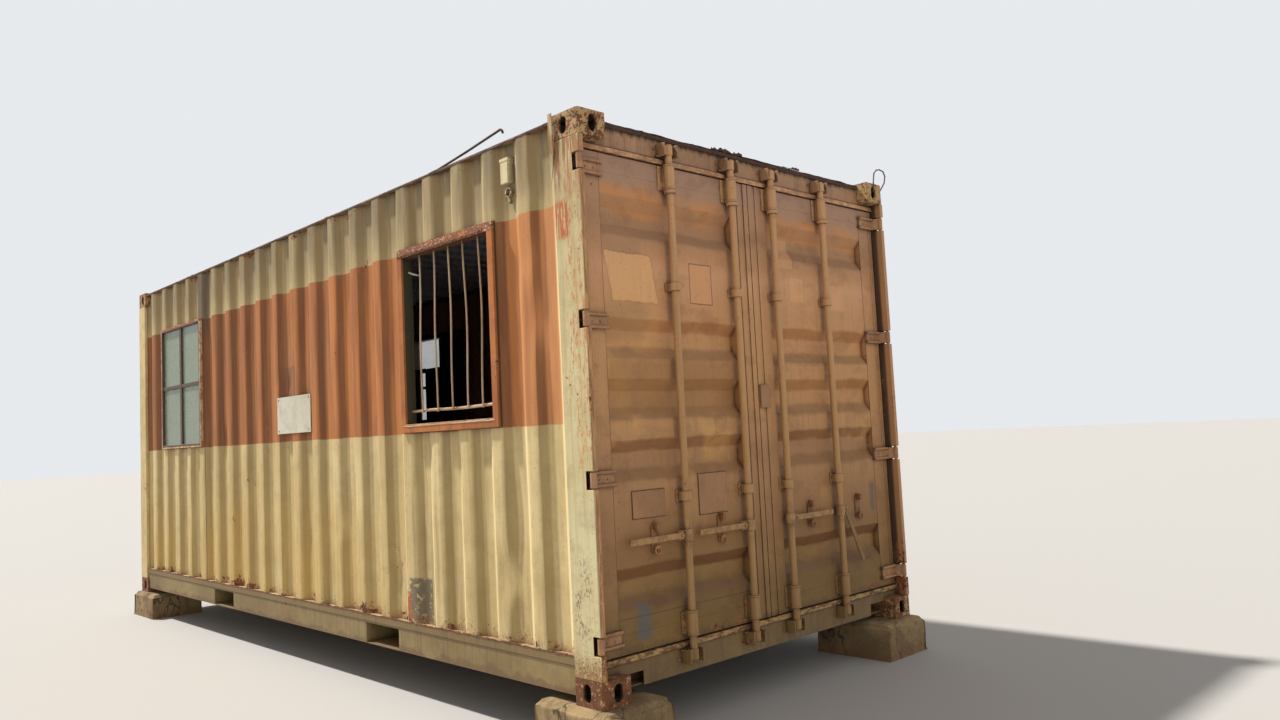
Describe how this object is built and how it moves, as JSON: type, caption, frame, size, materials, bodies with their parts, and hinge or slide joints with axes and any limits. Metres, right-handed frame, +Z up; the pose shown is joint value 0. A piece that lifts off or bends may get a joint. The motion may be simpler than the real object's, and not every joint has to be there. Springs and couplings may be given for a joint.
{
  "type": "portable site cabin",
  "caption": "Portable site cabin: a corrugated steel box on concrete blocks, with windows in its long sides and hinged cargo doors held by lock rods at one end.",
  "frame": {"origin": "centre of the footprint of the concrete blocks, at ground level", "axes": "+X along the length towards the cargo doors, +Y towards the hidden long side (the pictured one faces -Y), +Z up"},
  "size_m": [6.202, 2.522, 2.8904],
  "materials": {
    "cream_paint": "satin, chalked and rust-streaked",
    "mauve_paint": "matt, dusty and rust-stained",
    "rusted_steel": "matt, mostly rust",
    "olive_paint": "matt, dirty",
    "door_gear": "matt paint over steel, rust at the edges",
    "window_steel": "matt, orange-brown",
    "window_alloy": "dull",
    "glass": "dusty",
    "board": "worn",
    "white_plate": "matt",
    "rubber": "matt",
    "concrete": "rough",
    "wire": "dull"
  },
  "bodies": {
    "cabin": {"concrete_blocks": "concrete", "corner_castings": "rusted_steel", "door_end_posts": "cream_paint", "front_end_posts": "cream_paint", "door_header": "mauve_paint", "door_sill": "olive_paint", "front_rails": "cream_paint", "top_side_rails": "cream_paint", "bottom_side_rails": "olive_paint", "fork_pockets": "olive_paint", "cross_members": "olive_paint", "floor": "board", "window_side_wall": "cream_paint", "rear_side_wall": "cream_paint", "front_wall": "cream_paint", "roof_sheet": "cream_paint", "barred_window_frames": "window_steel", "glazed_window_frames": "window_alloy", "window_glass": "glass", "sign_board": "white_plate", "switch_box": "white_plate", "roof_rod": "rusted_steel", "wire_loop": "wire", "cam_keepers": "rusted_steel"},
    "left_door": {"left_door_frame": "mauve_paint", "left_door_panel": "mauve_paint", "left_door_gasket": "rubber", "left_hinge_blades": "door_gear", "left_rod_bearings": "door_gear", "left_handle_catches": "rusted_steel", "left_door_plates": "mauve_paint"},
    "right_door": {"right_door_frame": "mauve_paint", "right_door_panel": "mauve_paint", "right_door_gasket": "rubber", "right_hinge_blades": "door_gear", "right_rod_bearings": "door_gear", "right_handle_catches": "rusted_steel", "right_door_plate": "mauve_paint"},
    "rod_1": {"lock_rod_1": "door_gear"},
    "handle_1_body": {"handle_1": "door_gear"},
    "rod_2": {"lock_rod_2": "door_gear"},
    "handle_2_body": {"handle_2": "door_gear"},
    "rod_3": {"lock_rod_3": "door_gear"},
    "handle_3_body": {"handle_3": "door_gear"},
    "rod_4": {"lock_rod_4": "door_gear"},
    "handle_4_body": {"handle_4": "door_gear"}
  },
  "joints": [
    {"name": "left_door_swing", "type": "hinge", "parent": "cabin", "child": "left_door", "pos_m": [3.013, -1.203, 1.5], "axis": [0, 0, -1], "range_deg": [0, 265]},
    {"name": "right_door_swing", "type": "hinge", "parent": "cabin", "child": "right_door", "pos_m": [3.013, 1.203, 1.5], "axis": [0, 0, 1], "range_deg": [0, 265]},
    {"name": "lock_rod_1_turn", "type": "hinge", "parent": "left_door", "child": "rod_1", "pos_m": [2.995, -0.62, 1.5], "axis": [0, 0, -1], "range_deg": [-110, 0]},
    {"name": "handle_1_lift", "type": "hinge", "parent": "rod_1", "child": "handle_1_body", "pos_m": [3, -0.666, 0.868], "axis": [1, 0, 0], "range_deg": [-35, 0]},
    {"name": "lock_rod_2_turn", "type": "hinge", "parent": "left_door", "child": "rod_2", "pos_m": [2.995, -0.165, 1.5], "axis": [0, 0, -1], "range_deg": [-110, 0]},
    {"name": "handle_2_lift", "type": "hinge", "parent": "rod_2", "child": "handle_2_body", "pos_m": [3, -0.211, 0.868], "axis": [1, 0, 0], "range_deg": [-35, 0]},
    {"name": "lock_rod_3_turn", "type": "hinge", "parent": "right_door", "child": "rod_3", "pos_m": [2.995, 0.165, 1.5], "axis": [0, 0, 1], "range_deg": [-110, 0]},
    {"name": "handle_3_lift", "type": "hinge", "parent": "rod_3", "child": "handle_3_body", "pos_m": [3, 0.211, 0.868], "axis": [-1, 0, 0], "range_deg": [-35, 0]},
    {"name": "lock_rod_4_turn", "type": "hinge", "parent": "right_door", "child": "rod_4", "pos_m": [2.995, 0.62, 1.5], "axis": [0, 0, 1], "range_deg": [-110, 0]},
    {"name": "handle_4_lift", "type": "hinge", "parent": "rod_4", "child": "handle_4_body", "pos_m": [3, 0.666, 0.868], "axis": [-1, 0, 0], "range_deg": [-99, 0]}
  ]
}
